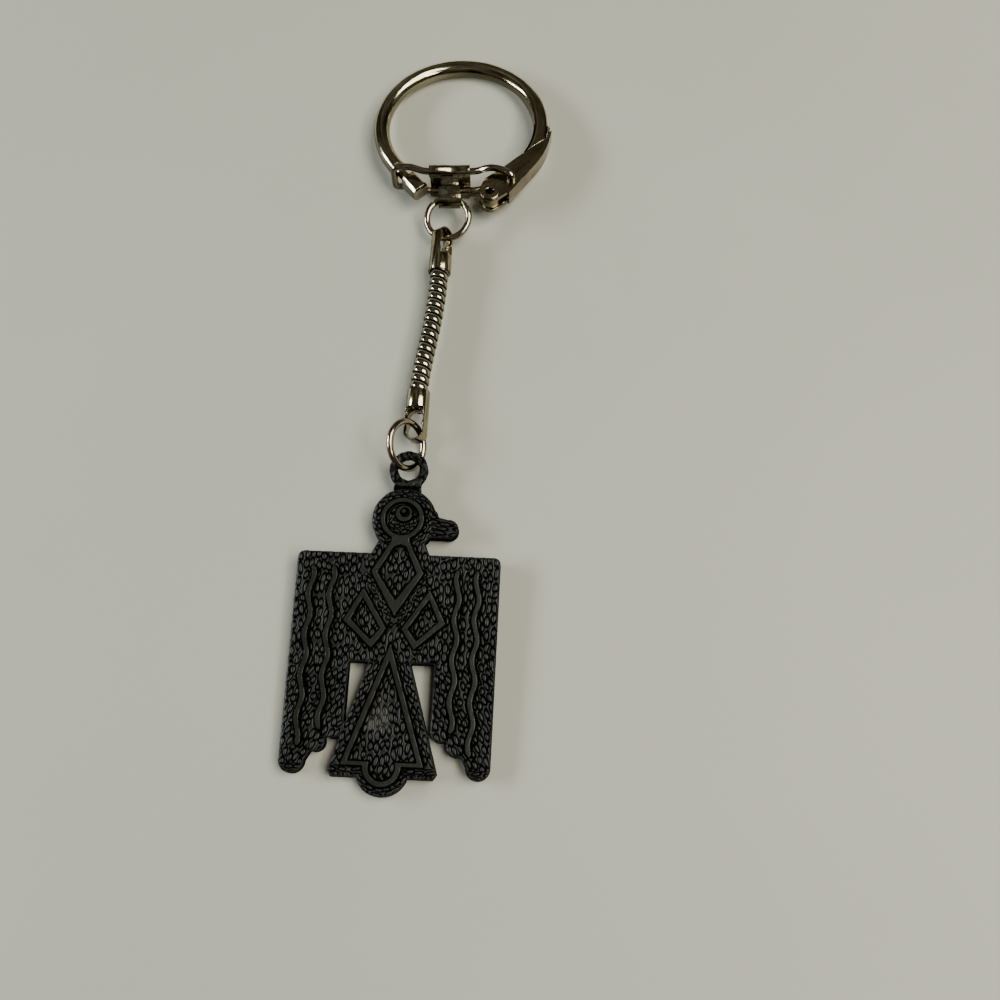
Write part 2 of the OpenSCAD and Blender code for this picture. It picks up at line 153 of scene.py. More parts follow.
def casting(name):
    """Dark antiqued casting: height runs from the black grooves (0) to the tops of the raised lines (1). It also
    carries painted shade, low on the side walls and the rounded rim
    """
    groove, bare = (0.0008, 0.0009, 0.0008), (0.060, 0.053, 0.034)
    m, t, s = new_material(name)
    c = t.nodes.new("ShaderNodeTexCoord").outputs["Object"]
    height, worn = mesh_value(t, "height"), mesh_value(t, "worn")
    cloud = noise(t, c, 0.22, 5.0)
    grain = noise(t, c, 7.0, 5.0, 0.65)
    skin = mix(t, cloud, (0.0078, 0.0100, 0.0084), (0.0150, 0.0178, 0.0140))
    raised = mix(t, grain, (0.008, 0.010, 0.008), (0.018, 0.020, 0.015))
    open_part = ramp(t, height, [(0.16, 0.0), (0.42, 1.0)])
    colour = mix(t, ramp(t, height, [(0.52, 0.0), (0.86, 1.0)]), mix(t, open_part, groove, skin), raised)
    t.links.new(mix(t, worn, colour, bare), s.inputs["Base Color"])
    s.inputs["Metallic"].default_value = 0.22
    t.links.new(ramp(t, open_part, [(0.0, 0.02), (1.0, 0.42)]), s.inputs["Specular IOR Level"])
    sheen = ramp(t, mix(t, 0.5, grain, cloud), [(0.3, 0.26), (0.7, 0.46)])
    t.links.new(mix(t, open_part, (0.85, 0.85, 0.85), sheen), s.inputs["Roughness"])
    t.links.new(bump(t, grain, 0.4, 0.03 * MM), s.inputs["Normal"])
    return m


NICKEL = nickel("nickel", (0.76, 0.71, 0.49), (0.52, 0.46, 0.28))
SHEET = nickel("nickel_sheet", (0.66, 0.60, 0.41), (0.42, 0.35, 0.21), (0.08, 0.22), 0.3)
WIRE = nickel("nickel_wire", (0.74, 0.67, 0.50), (0.50, 0.41, 0.29))
CHAIN = nickel("nickel_chain", (0.76, 0.72, 0.53), (0.46, 0.41, 0.27), scratch=0.4)
CAST = casting("dark_casting")


# ---------------------------------------------------------------- mesh helpers
def step(x, a, b):
    """Eases from 0 at a to 1 at b"""
    t = np.clip((x - a) / (b - a), 0, 1)
    return t * t * (3 - 2 * t)


def piece(name, mesh, node, material):
    """A shown piece that stands for a CAD node, rides on its body and has its finish"""
    o = bpy.data.objects.new(name, mesh)
    bpy.context.scene.collection.objects.link(o)
    mesh.materials.clear()
    mesh.materials.append(material)
    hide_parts(node)
    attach(o, BODY_OF[node])
    return o


def vectors(items, what):
    """A vector property of all the items, one to a row"""
    values = np.zeros(len(items) * 3, np.float32)
    items.foreach_get(what, values)
    return values.reshape(-1, 3)


def coords(mesh):
    return vectors(mesh.vertices, "co").astype(float)


def attribute(mesh, name, values):
    a = mesh.attributes.new(name, "FLOAT", "POINT")
    a.data.foreach_set("value", np.clip(values, 0, 1).astype(np.float32))


def tarnish(mesh, extra=0.0, flow=None):
    """What the nickel needs from its mesh. A painted shade on the flanks, heavier on those facing left, and
    a painted shade in creases and gaps, as extra says. Flow: coordinates whose y runs along the piece, for
    its scratches"""
    normals = vectors(mesh.vertices, "normal")
    # painted shade on the flanks, from the rest normals, heavier on those facing left
    flank = 1 - step(np.abs(normals[:, 2]), 0.50, 0.80)
    attribute(mesh, "flank_shade", flank * (1 - 0.45 * step(normals[:, 0], -0.2, 0.6)))
    attribute(mesh, "crevice_shade", extra(coords(mesh)) if callable(extra) else np.zeros(len(normals)) + extra)
    along = flow(coords(mesh)) if flow else coords(mesh)
    data = mesh.attributes.new("flow", "FLOAT_VECTOR", "POINT").data
    data.foreach_set("vector", along.astype(np.float32).ravel())


def around(centre, right, up, axis, radius):
    """Flow round a ring: how far out, how far round and how far along its axis"""
    def flow(co):
        a, b, c = ((co - np.array(centre)) @ np.array(v) for v in (right, up, axis))
        return np.stack((np.hypot(a, b), np.arctan2(a, b) * radius, c), 1)
    return flow


def smooth(mesh, angle=38):
    for p in mesh.polygons:
        p.use_smooth = True
    mesh.set_sharp_from_angle(angle=math.radians(angle))


def as_mesh(bm, name):
    mesh = bpy.data.meshes.new(name)
    bm.to_mesh(mesh)
    bm.free()
    return mesh


def welded(node):
    """A CAD node's mesh, with its faces joined up"""
    bm = bmesh.new()
    bm.from_mesh(frame["nodes"][node].data)
    bmesh.ops.remove_doubles(bm, verts=bm.verts, dist=1e-6)
    return bm


def flattened(bm):
    """Merges the triangles of each flat face"""
    bmesh.ops.dissolve_limit(bm, angle_limit=math.radians(0.6), verts=bm.verts, edges=bm.edges)


def rolled(bm, width, angle=32, segments=2):
    """Rolls over the sharp edges, as on plated sheet and pressed parts"""
    flattened(bm)
    sharp = [e for e in bm.edges if len(e.link_faces) == 2 and e.calc_face_angle(0) > math.radians(angle)]
    bmesh.ops.bevel(bm, geom=sharp, offset=width, segments=segments, profile=0.6, affect="EDGES",
                    clamp_overlap=True)
    bmesh.ops.triangulate(bm, faces=[f for f in bm.faces if len(f.verts) > 4])


def finished(bm, node, material, flow=None, extra=0.0):
    """Shows bm in place of the CAD node"""
    mesh = as_mesh(bm, node + "_soft")
    smooth(mesh)
    tarnish(mesh, extra, flow)
    return piece(node + "_skin", mesh, node, material)


def softened(node, width, segments=2):
    """Shows the CAD shape with its sharp edges rolled over"""
    bm = welded(node)
    rolled(bm, width, segments=segments)
    finished(bm, node, NICKEL)


def remeshed(node, size):
    """The CAD shape as an even skin of small quads of the given size"""
    o = bpy.data.objects.new("remesh_tmp", as_mesh(welded(node), node + "_even"))
    bpy.context.scene.collection.objects.link(o)
    r = o.modifiers.new("even", "REMESH")
    r.mode, r.voxel_size, r.adaptivity = "VOXEL", size, 0.0
    even = bpy.data.meshes.new_from_object(o.evaluated_get(bpy.context.evaluated_depsgraph_get()))
    bpy.data.objects.remove(o)
    return even


def bridge(bm, a, b):
    """A band of quads between two rings of vertices"""
    for i in range(len(a)):
        j = (i + 1) % len(a)
        bm.faces.new((a[i], a[j], b[j], b[i]))


def tube(name, path, radius, cap, sides=28):
    """A round bar along path, a list of points in metres. Its ends are domed over; cap is their height in
    radii"""
    bm = bmesh.new()
    rings = []
    up = (path[1] - path[0]).normalized().orthogonal().normalized()
    for before, at, after in zip([path[0]] + path, path, path[1:] + [path[-1]]):
        d = (after - before).normalized()
        up = (up - d * up.dot(d)).normalized()
        side = d.cross(up)
        rings.append([bm.verts.new(at + radius * (math.cos(q) * up + math.sin(q) * side))
                      for q in (2 * math.pi * i / sides for i in range(sides))])
    for a, b in zip(rings, rings[1:]):
        bridge(bm, a, b)
    steps = 4
    for ring, end, inner in ((rings[0], path[0], path[1]), (rings[-1], path[-1], path[-2])):
        c = sum((v.co for v in ring), Vector()) / sides
        rise = (end - inner).normalized() * (ring[0].co - c).length * cap
        last = ring
        for q in (math.pi / 2 * s / steps for s in range(1, steps)):
            new = [bm.verts.new(c + (v.co - c) * math.cos(q) + rise * math.sin(q)) for v in ring]
            bridge(bm, last, new)
            last = new
        tip = bm.verts.new(c + rise)
        for i in range(sides):
            bm.faces.new((last[i], last[(i + 1) % sides], tip))
    bmesh.ops.recalc_face_normals(bm, faces=bm.faces)
    mesh = as_mesh(bm, name)
    smooth(mesh, 60)
    return mesh


# ---------------------------------------------------------------- chain
SLANT = -0.18               # the ribs are drawn slightly askew, by this much of their radius
OUTSIDE = 0.83              # in rib radii, what is outside this belongs to the outer bead
SOCKET = 0.81               # and outside this to the bead or its socket


def link_frame(k):
    """Where link k's joint is, and its axis down the chain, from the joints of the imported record"""
    def joint(i):
        return Vector(JOINTS[("chain_side_%02d" if i % 2 == 0 else "chain_lift_%02d") % i]["pos_m"])
    n = len(LINKS)
    if k == 1:
        d = (joint(3) - joint(2)).normalized()
        return joint(2) - d * (joint(3) - joint(2)).length, d
    if k == n:
        return joint(n), (joint(n) - joint(n - 1)).normalized()
    return joint(k), (joint(k + 1) - joint(k)).normalized()


def rib_outline():
    """A link's outline as (radius, distance down from its joint), in rib radii and link pitches: the collar,
    the neck, the outer bead, and back up inside the bead round the socket"""
    top, low, lap, steps = 0.571, 1.357, 0.01, 14
    waist, power, lean = 0.84, 0.55, 1.3
    collar = [(0.47, -0.07), (0.70, -0.07), (0.775, 0.05), (0.775, 0.22), (0.70, 0.36), (0.70, 0.50)]
    bead = []
    for t in (i / steps for i in range(steps + 1)):  # fullest past its middle, like a scale
        bead.append((waist + 0.16 * max(math.sin(math.pi * t ** lean), 0) ** power,
                     top - lap + (low - top + 2 * lap) * (1 - math.cos(math.pi * t)) / 2))
    socket = [(0.80, low), (0.80, 1.22), (0.815, 1.10), (0.80, 0.93), (0.70, 0.80), (0.47, 0.72)]
    return collar + bead + socket


def build_chain():
    """Each link is a rolled bead with a waist, so that the chain is ribbed"""
    lo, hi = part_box(LINKS[5])
    rib_r = (hi.z - lo.z) / 2
    pitch = (link_frame(3)[0] - link_frame(2)[0]).length
    sides, out_of_round = 64, 0.006
    shade_below, shade_over = 0.972, 0.06  # painted shade lies below this radius, and is full this much further in
    for k, node in enumerate(LINKS, 1):
        at, d = link_frame(k)
        up = Vector((0, 0, 1))
        side = d.cross(up)
        bm = bmesh.new()
        rings, crevice_shade = [], []
        dent = random.Random(k)
        phase, tilt = dent.uniform(0, 6.28), dent.uniform(0.2, 1.0)
        for r, h in rib_outline():
            ring = []
            for q in (2 * math.pi * i / sides for i in range(sides)):
                # the outer bead isn't a perfect circle: it is drawn from strip
                wob = 1 - out_of_round * tilt * (1 + math.cos(2 * q + phase)) if r > OUTSIDE else 1
                down = h * pitch + (SLANT * rib_r * math.sin(q) if r > SOCKET else 0)
                ring.append(bm.verts.new(at + d * down
                                         + rib_r * r * wob * (math.cos(q) * up + math.sin(q) * side)))
                # painted shade in the grooves between the beads
                crevice_shade.append(max(0.0, min(1.0, (shade_below - r) / shade_over)))
            rings.append(ring)
        for a, b in zip(rings, rings[1:] + rings[:1]):
            bridge(bm, a, b)
        bmesh.ops.recalc_face_normals(bm, faces=bm.faces)
        mesh = as_mesh(bm, node)
        smooth(mesh, 50)
        tarnish(mesh, np.array(crevice_shade))
        piece(node + "_bead", mesh, node, CHAIN)


# ---------------------------------------------------------------- jump rings
def circle_of(node):
    """Centre, plane axes, centreline radius and wire radius of a wire ring, fitted to its CAD mesh"""
    co = coords(frame["nodes"][node].data)
    c = (co.max(0) + co.min(0)) / 2
    for _ in range(4):
        d = co - c
        axes = np.linalg.eigh(d.T @ d)[1]
        n = axes[:, 0]
        flat = d - np.outer(d @ n, n)
        r = np.linalg.norm(flat, axis=1)
        inner, outer = r.min(), r.max()
        mid = (inner + outer) / 2
        c = c + np.mean(flat / r[:, None] * (r - mid)[:, None], axis=0)
    return Vector(c), Vector(axes[:, 2]), Vector(axes[:, 1]), float(mid), float(outer - inner) / 2


def build_jump_ring(node, cut):
    """An open loop of wire, its two cut ends almost touching and a little out of line"""
    gap, offset, settle, thinner = 0.08, 0.06, 9.0, 0.02  # mm, but settle is in steps
    c, u, v, r, wire = circle_of(node)
    n = u.cross(v)
    steps = 120
    half = 0.5 * gap * MM / r
    path = []
    for k in range(steps + 1):
        q = cut + half + (2 * math.pi - 2 * half) * k / steps
        lift = offset * MM * (k / steps - 0.5) * math.exp(-min(k, steps - k) / settle)
        path.append(c + r * (math.cos(q) * u + math.sin(q) * v) + n * lift)
    mesh = tube(node, path, wire - thinner * MM, cap=0.04, sides=30)
    tarnish(mesh, flow=around(c, u, v, n, r))
    piece(node + "_wire", mesh, node, WIRE)


# ---------------------------------------------------------------- key ring, lever, bail and tab
# The key ring's own axes: u to the right, v away, w square to the ring, all in mm from its centre
KNUCKLE = (5.1, -15.6)      # the rivet
ROD_R, RING_R = 1.45, 14.5
LAP = (15.6, -3.35)         # outer end of the slanted lap between rod and lever
LAP_SLOPE = math.atan2(4.35, 5.5)
LAP_GAP = 0.15
LAP_LENGTH = 6.2            # along u
CHEEK_W = 1.46              # how far out the rod's flattened end and the lever's cheeks carry the lap's painted shade
LIP_LENGTH = 0.61           # the thumb lip, as a part of the CAD one's length
TONGUE_W = 0.65             # half the thickness of the rod's tongue inside the lever
STRAND = -11.9              # the bail's straight part, which the tab slides on
EYE_V = -15.85              # the tab's eye


def ring_axes():
    u = Vector((1, 0, 0))
    w = Vector(JOINTS["lever_hinge"]["axis"]).normalized()
    w = w if w.z > 0 else -w
    v = w.cross(u)
    lo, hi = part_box("lever_rivet")
    return (lo + hi) / 2 - (KNUCKLE[0] * u + KNUCKLE[1] * v) * MM, u, v, w


CENTRE, U, V, W = ring_axes()
ROUND_RING = around(CENTRE, U, V, W, RING_R * MM)


def turned(co):
    """Coordinates in mm in the ring's axes"""
    d = (np.asarray(co) - np.array(CENTRE)) / MM
    return [d @ np.array(axis) for axis in (U, V, W)]


def ring_point(r, turn, w):
    """The point at radius r, turn radians round the ring and w off its plane"""
    return CENTRE + MM * (r * (math.cos(turn) * U + math.sin(turn) * V) + w * W)


def lap_gap_shade(co):
    """Painted shade in the gap between the slanted end of the lever's cheeks and the flattened end of the rod"""
    u, v, w = turned(co)
    ahead = (v - LAP[1]) * math.cos(LAP_SLOPE) - (u - LAP[0]) * math.sin(LAP_SLOPE)
    off = np.abs(ahead - LAP_GAP / 2)
    in_gap = 1 - step(off, LAP_GAP / 2 + 0.03, LAP_GAP / 2 + 0.06)
    return 0.95 * in_gap * (u > LAP[0] - LAP_LENGTH) * (np.abs(w) < CHEEK_W)


def swept_rod():
    """The rod from inside the lever round to the neck: drawn round, and beaten flat towards the lever"""
    round_from, flat_at, low, high = 44, 3, -36, 217.5  # degrees round the ring
    thinner, wider, inwards, squarer = 0.19, 0.05, 0.24, 3.4
    steps, sides = 200, 48
    bm = bmesh.new()
    last = None
    for k in range(steps + 1):
        turn = low + (high - low) * k / steps
        flat = float(step(-turn, -round_from, -flat_at))
        power = 2 + squarer * flat ** 1.5
        mid, half_u, half_w = RING_R - inwards * flat, ROD_R - thinner * flat, ROD_R + wider * flat
        ring = []
        for i in range(sides):
            a = 2 * math.pi * i / sides
            c, d = math.cos(a), math.sin(a)
            size = (abs(c) ** power + abs(d) ** power) ** (-1 / power)
            at = ring_point(mid + half_u * size * c, math.radians(turn), half_w * size * d)
            ring.append(bm.verts.new(at))
        if last:
            bridge(bm, ring, last)
        last = ring
    return bm


def cut_at_lap(bm):
    """Cuts the rod off along the lap and closes it with a slightly rounded face"""
    normal = math.cos(LAP_SLOPE) * V - math.sin(LAP_SLOPE) * U
    place = CENTRE + MM * (LAP[0] * U + LAP[1] * V + LAP_GAP * normal)
    cut = bmesh.ops.bisect_plane(bm, geom=bm.verts[:] + bm.edges[:] + bm.faces[:], dist=1e-8,
                                 plane_co=place, plane_no=-normal, clear_outer=True)["geom_cut"]
    rim = [e for e in cut if isinstance(e, bmesh.types.BMEdge)]
    end = bmesh.ops.edgeloop_fill(bm, edges=rim)["faces"]
    bmesh.ops.bevel(bm, geom=[e for f in end for e in f.edges], offset=0.06 * MM, segments=1, profile=0.5,
                    affect="EDGES", clamp_overlap=True)
    bmesh.ops.triangulate(bm, faces=[f for f in bm.faces if len(f.verts) > 4])


def build_ring():
    """The neck, the nub and the tongue are the CAD's. The rod is swept, as its section changes along it"""
    bm = welded("ring_body")
    for face in list(bm.faces):
        u, v, w = turned(face.calc_center_median())
        turn = math.degrees(math.atan2(v, u)) % 360
        rod = 1 < turn < 214 and math.hypot(math.hypot(u, v) - RING_R, w) > ROD_R * 0.8
        flat = (turn < 5 or turn > 300) and v > -9 and abs(w) > TONGUE_W + 0.02
        if rod or flat:
            bm.faces.remove(face)
    bmesh.ops.delete(bm, geom=[v for v in bm.verts if not v.link_faces], context="VERTS")
    rolled(bm, 0.10 * MM)
    rod = swept_rod()
    cut_at_lap(rod)
    bm.from_mesh(as_mesh(rod, "swept_rod"))
    finished(bm, "ring_body", NICKEL, ROUND_RING, lap_gap_shade)


def build_lever():
    """Its web has a broadly rounded rim and ends in a short thumb lip"""
    web_r, foot = 15.4, -14.0  # the web's inner face, and where the lip starts in degrees round the ring
    rim_r, rim_w, rim_angle = 16.0, 1.4, 0.7
    bm = welded("latch_lever")
    flattened(bm)
    for x in bm.verts:
        u, v, w = turned(x.co)
        r, turn = math.hypot(u, v), math.degrees(math.atan2(v, u))
        if r > web_r and turn > foot:
            x.co = ring_point(r, math.radians(foot + (turn - foot) * LIP_LENGTH), float(w))
    rim = []
    for e in bm.edges:
        ends = [turned(x.co) for x in e.verts]
        outside = all(math.hypot(u, v) > rim_r and abs(w) > rim_w for u, v, w in ends)
        if outside and e.calc_face_angle(0) > rim_angle:
            rim.append(e)
    bmesh.ops.bevel(bm, geom=rim, offset=0.36 * MM, segments=4, profile=0.5, affect="EDGES",
                    clamp_overlap=True)
    rolled(bm, 0.08 * MM, angle=34)
    lever = finished(bm, "latch_lever", SHEET, ROUND_RING, lap_gap_shade)
    lever.modifiers.new("flat cheeks", "WEIGHTED_NORMAL").keep_sharp = True


def build_bail():
    """One wire: from a pin in the lever over the ring's face, round the neck, and back below to its other
    pin"""
    hole, hook = (9.0, -12.7), (-11.72, -11.03)
    waves = [hole, (7.1, -11.3), (4.9, -11.0), (2.8, STRAND), (-6.3, STRAND), (-8.9, -10.8), hook]
    pin_w, strand_w, wire_r = 0.95, 2.45, 0.6
    tight, gentle = 0.9, 1.1  # how far from its corner a bend starts
    over = [Vector((*at, w)) for at, w in [(hole, pin_w)] + [(at, strand_w) for at in waves]]
    points = over + [Vector((p.x, p.y, -p.z)) for p in reversed(over)]
    path = [points[0]]
    for before, at, after in zip(points, points[1:], points[2:]):
        run = gentle if before.z == after.z else tight
        a, b = (at + (p - at) * min(run / (p - at).length, 0.48) for p in (before, after))
        path += [(1 - t) ** 2 * a + 2 * t * (1 - t) * at + t * t * b for t in (k / 10 for k in range(11))]
    path.append(points[-1])
    path = [CENTRE + MM * (p.x * U + p.y * V + p.z * W) for p in path]
    mesh = tube("wire_bail", path, wire_r * MM, cap=0.2)
    tarnish(mesh)
    piece("wire_bail_bent", mesh, "wire_bail", WIRE)


def build_tab():
    """A folded strip: its tongues are pinched between the roll and the eye, and a seam crosses the roll"""
    seam, groove, groove_depth = 0.35, 0.11, 0.16
    half_width, narrower, waist_depth = 1.95, 0.2, 0.7
    bm = welded("swivel_tab")
    centre = sum(x.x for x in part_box("swivel_tab")) / 2
    strand = CENTRE + STRAND * MM * V
    cuts = [(strand - V * MM * k, V) for k in (0.9, 1.2, 1.5, 1.8, 2.1, 2.4, 2.7, 3.0)]
    cuts += [(Vector((centre + (seam + k * groove) * MM, 0, 0)), U) for k in (-1, 0, 1)]
    for place, normal in cuts:
        bmesh.ops.bisect_plane(bm, geom=bm.verts[:] + bm.edges[:] + bm.faces[:], dist=1e-7,
                               plane_co=place, plane_no=normal)
    for x in bm.verts:
        v, w = turned(x.co)[1:]
        off = x.co.x - centre
        pinch = float(step(v, EYE_V + 0.7, EYE_V + 1.5) * (1 - step(v, STRAND - 1.0, STRAND - 0.5)))
        waist = float(step(v, EYE_V + 1.1, EYE_V + 1.7) * (1 - step(v, STRAND - 1.9, STRAND - 0.8)))
        if abs(off) < half_width * MM:
            x.co.x = centre + off * (1 - narrower * pinch)
            if abs(w) > 0.8:
                x.co -= W * math.copysign(waist_depth * MM * waist, w)
        if abs(off - seam * MM) < 0.02 * MM and abs(w) > 2.6 and v > STRAND - 0.75:
            x.co -= W * math.copysign(groove_depth * MM, w)
    rolled(bm, 0.06 * MM)
    finished(bm, "swivel_tab", SHEET)


# ---------------------------------------------------------------- pendant
# The bird's own layout, in mm from its loop's centre: x to its right, y up
LEAN = math.radians(2.5)    # clockwise on the table
PLATE, RELIEF = 2.0, 0.4    # thickness of the plate, and height of the lines on it
AXIS_X = -0.4
LOOP_END = -3.0             # where the loop meets the head
HEAD = (0.3, -8.4)
HEAD_LOW = -12.5            # the head's lower end
EYE, EYE_OUT = (0.05, -8.4), 3.4
DIAMOND = (-0.1, -23.9)     # the big diamond's lower corner
SIDE_X, SIDE_Y, SIDE = 4.05, 6.8, 7.91  # its lower sides: how far across, how far up, and their length
TAIL_X, WINDOW_TOP = -0.3, -31.0
LOBE_Y = -46.2
EDGE = 0.55                 # how far the casting's rounded edge reaches in


def hash2(i, j, salt):
    x = np.sin(i * 127.1 + j * 311.7 + salt * 74.7) * 43758.5453
    return x - np.floor(x)


def soft_noise(x, y, size, salt):
    """Smooth random values from 0 to 1 that change over size mm"""
    x, y = x / size, y / size
    i, j = np.floor(x), np.floor(y)
    u, v = step(x - i, 0, 1), step(y - j, 0, 1)
    return ((hash2(i, j, salt) * (1 - u) + hash2(i + 1, j, salt) * u) * (1 - v)
            + (hash2(i, j + 1, salt) * (1 - u) + hash2(i + 1, j + 1, salt) * u) * v)


def ovals(a, b, wide, long):
    """Bark-like relief over coordinates in mm: dark-rimmed ovals, long along b, one to a cell of wide by
    long. Gives the depth of the grooves and the height of the domes, each from 0 to 1"""
    sway = 0.22 * wide * (soft_noise(a, b, 1.1, 21) - 0.5)
    slide = 0.5 * wide * (soft_noise(a, b, 0.9, 22) - 0.5)
    a, b = a + sway, b + slide
    rim = 0.26
    best = np.full(a.shape, 9.0)
    dome = np.zeros(a.shape)
    col = np.floor(a / wide)
    for di in (-1, 0, 1):
        ci = col + di
        shift = hash2(ci, ci * 0 + 3, 1) * long
        row = np.floor((b - shift) / long)
        for dj in (-1, 0, 1):
            cj = row + dj
            x = (ci + 0.5 + 0.34 * (hash2(ci, cj, 2) - 0.5)) * wide
            y = (cj + 0.5 + 0.40 * (hash2(ci, cj, 3) - 0.5)) * long + shift
            w = wide * (0.34 + 0.10 * hash2(ci, cj, 4))
            h = long * (0.37 + 0.10 * hash2(ci, cj, 5))
            lean = 0.35 * (hash2(ci, cj, 6) - 0.5)
            dx, dy = a - x, b - y
            d = np.sqrt(((dx + lean * dy) / w) ** 2 + (dy / h) ** 2)
            dome = np.where(d < best, 0.15 + 0.5 * hash2(ci, cj, 7), dome)
            best = np.minimum(best, d)
    return np.exp(-(((best - 1.0) / rim) ** 2)), np.clip(1 - best, 0, 1) * dome


def bark(x, y):
    """Grooves and domes of the bird's texture: ovals down the wings, round the head and along the lines"""
    ex, ey = x - EYE[0], y - EYE[1]
    eye_r, eye_turn = np.hypot(ex, ey), np.arctan2(ey, ex)
    hx, hy = x - HEAD[0], y - HEAD[1]
    dx, dy = np.abs(x - DIAMOND[0]), y - DIAMOND[1]
    across = (dx * SIDE_Y - dy * SIDE_X) / SIDE
    along = (dx * SIDE_X + dy * SIDE_Y) / SIDE
    tx = np.abs(x - TAIL_X)
    tail_edge = 3.3 + 0.306 * (WINDOW_TOP - 0.2 - y)
    line_edge = 0.34 * (-28.1 - y)
    lobe_r, lobe_turn = np.hypot(x - TAIL_X, y - LOBE_Y), np.arctan2(y - LOBE_Y, x - TAIL_X)
    # (where, the two coordinates the ovals follow, their cell's width and length), later ones on top
    areas = (
        (np.full(x.shape, True), x, y, 0.92, 1.80),
        ((eye_r > EYE_OUT) & (y > HEAD_LOW + 0.1), eye_r + 0.15, eye_turn * 4.3, 0.72, 1.35),
        (eye_r <= EYE_OUT, eye_r + 0.1, eye_turn * 2.0, 0.62, 1.25),
        ((hx > 4.3) & (y > HEAD_LOW - 0.1) & (y < -7.0), hy + 0.10 * hx + 0.2, hx, 0.74, 2.1),
        ((y < WINDOW_TOP) & (tx > line_edge), tx - tail_edge - 0.05, y, 0.92, 1.5),
        ((y < LOBE_Y + 0.1) & (lobe_r > 2.8), y + 0.1, x, 0.70, 1.6),
        ((y < LOBE_Y - 1.1) & (lobe_r > 2.4), lobe_r + 0.1, lobe_turn * 3.3, 0.72, 1.4),
        ((across > 0) & (across < 1.25) & (y < -17.3) & (y > -25.2), across + 0.1, along, 0.66, 1.25))
    grooves, domes = np.zeros(x.shape), np.zeros(x.shape)
    for inside, a, b, wide, long in areas:
        groove, dome = ovals(a, b, wide, long)
        grooves, domes = np.where(inside, groove, grooves), np.where(inside, dome, domes)
    return grooves, domes


def pendant_axes():
    """Origin and axes of the bird: its loop's centre on the back face, right, up and out of the front"""
    mount = next(m for m in frame["record"]["mounts"] if m["name"] == "pendant_back")
    out = -Vector(mount["axis"]).normalized()
    right = Vector((math.cos(LEAN), -math.sin(LEAN), 0))
    up = out.cross(right)
    mark = Vector(mount["pos_m"])
    loop = JOINTS["pendant_swing"]["pos_m"]
    return mark + up * round((Vector(loop) - mark).dot(up) / MM) * MM, right, up, out


class Plan:
    """A fine map of the bird's front, to find how far any point is from the raised lines or from the edge"""

    cell = 0.055

    def __init__(self, x, y):
        self.low = (x.min() - 1, y.min() - 1)
        self.shape = tuple(int((v.max() - low + 1) / self.cell) for v, low in zip((x, y), self.low))

    def marked(self, x, y):
        """True round each given point"""
        mask = np.zeros(self.shape, bool)
        i, j = (((v - low) / self.cell).round().astype(int) for v, low in zip((x, y), self.low))
        mask[i, j] = True
        return self.spread(mask, 2) < 1.6

    def spread(self, mask, steps):
        """Distance in cells from the mask, as far as steps"""
        d = np.where(mask, 0.0, float(steps))
        for _ in range(steps):
            for ax in (0, 1):
                for shift in (-1, 1):
                    d = np.minimum(d, np.roll(d, shift, ax) + 1)
            for sx in (-1, 1):
                for sy in (-1, 1):
                    d = np.minimum(d, np.roll(np.roll(d, sx, 0), sy, 1) + 1.414)
        return d

    def distance(self, mask, x, y, reach):
        """Distance in mm from each point to the mask, as far as reach"""
        d = self.spread(mask, int(reach / self.cell)) * self.cell
        u, v = (x - self.low[0]) / self.cell, (y - self.low[1]) / self.cell
        i, j = np.floor(u).astype(int), np.floor(v).astype(int)
        u, v = u - i, v - j
        return ((d[i, j] * (1 - u) + d[i + 1, j] * u) * (1 - v)
                + (d[i, j + 1] * (1 - u) + d[i + 1, j + 1] * u) * v)


def round_off(mesh, inside, steps):
    """Smooths the vertices that are inside, which turns the loop into a round-sectioned eye"""
    bm = bmesh.new()
    bm.from_mesh(mesh)
    bm.verts.ensure_lookup_table()
    loop = [bm.verts[i] for i in np.nonzero(inside)[0]]
    for _ in range(steps):
        bmesh.ops.smooth_vert(bm, verts=loop, factor=0.6, use_axis_x=True, use_axis_y=True, use_axis_z=True)
    bm.to_mesh(mesh)
    bm.free()


